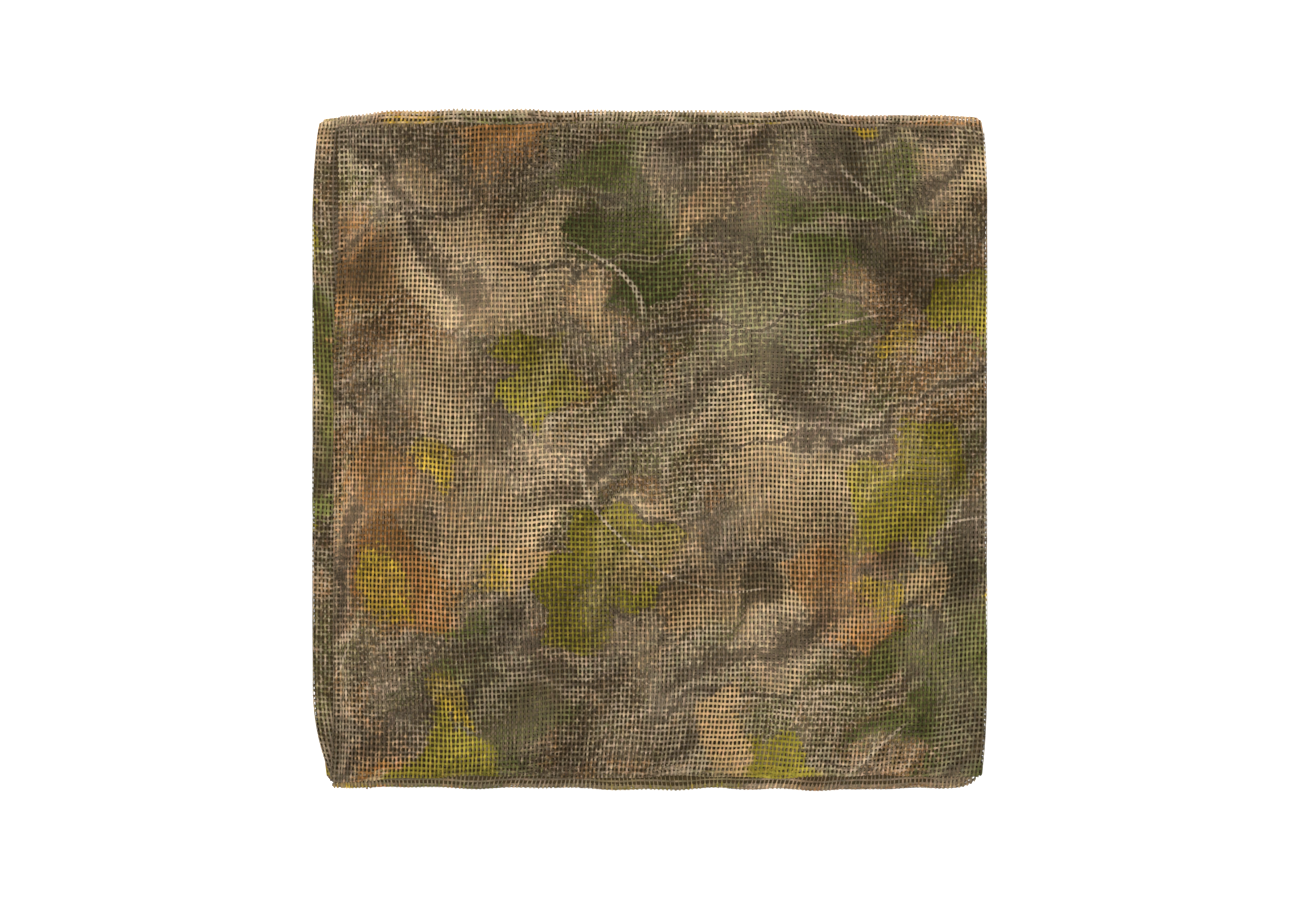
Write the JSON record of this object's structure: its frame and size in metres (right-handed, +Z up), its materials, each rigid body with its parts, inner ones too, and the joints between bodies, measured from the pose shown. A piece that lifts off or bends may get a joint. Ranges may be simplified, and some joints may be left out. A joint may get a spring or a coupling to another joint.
{
  "type": "folded camouflage net",
  "caption": "Fine printed mesh netting folded to a flat square bundle, laid back and forth in layers with rolled turns at two sides; lies flat on a shelf or the ground.",
  "frame": {"origin": "middle of the bundle's box, on its resting face", "axes": "+Z up through the stack, X along the folded strip with its turns at both ends of X, Y along the turns"},
  "size_m": [0.302, 0.3039, 0.0329],
  "materials": {
    "mesh_cloth": "matt printed polyester mesh in greys, browns, olive and tan"
  },
  "bodies": {
    "root": {"net": "mesh_cloth"}
  },
  "joints": []
}
